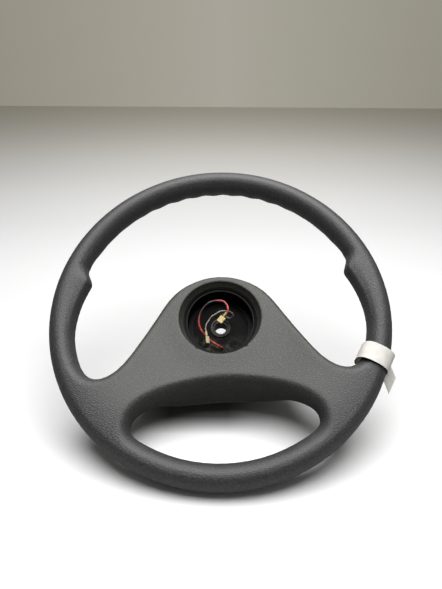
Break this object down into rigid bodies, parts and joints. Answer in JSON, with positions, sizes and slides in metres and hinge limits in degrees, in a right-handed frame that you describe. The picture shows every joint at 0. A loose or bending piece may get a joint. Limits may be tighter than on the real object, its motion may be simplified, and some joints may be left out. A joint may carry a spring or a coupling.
{
  "type": "car steering wheel",
  "caption": "Dark grey foam-covered car steering wheel with a wide lower web, thumb rests, an open hub recess with loose horn leads, and a blank paper tag.",
  "frame": {"origin": "on the steering column axis, at the rear face of the hub boss", "axes": "+Y points back along the column axis, away from the driver; +X is to the right as the driver sees the wheel; +Z points to 12 o'clock"},
  "size_m": [0.38, 0.1006, 0.38],
  "materials": {
    "foam": "moulded polyurethane foam skin with a fine grain",
    "frame_steel": "plain pressed and rolled steel inside the foam",
    "dish_paint": "satin black paint",
    "boss_steel": "turned, dark and oiled",
    "black_plastic": "moulded, slightly glossy",
    "brass": "bare",
    "pale_plastic": "moulded",
    "screw_steel": "zinc plated",
    "grommet_rubber": "soft",
    "red_cover": "lead insulation",
    "brown_cover": "lead insulation",
    "paper": "thin coated paper"
  },
  "bodies": {
    "root": {"rim_moulding": "foam", "rim_ring": "frame_steel", "spoke_arm_left": "frame_steel", "spoke_arm_right": "frame_steel", "hub_dish": "dish_paint", "hub_boss": "boss_steel", "recess_liner": "black_plastic", "contact_carrier": "black_plastic", "contact_ring": "brass", "cancelling_ring": "pale_plastic", "carrier_screws": "screw_steel", "red_lead_grommet": "grommet_rubber", "thin_lead_grommet": "grommet_rubber", "red_lead": "red_cover", "red_terminal": "brass", "thin_lead": "brown_cover", "thin_terminal": "brass", "paper_tag": "paper"}
  },
  "joints": []
}
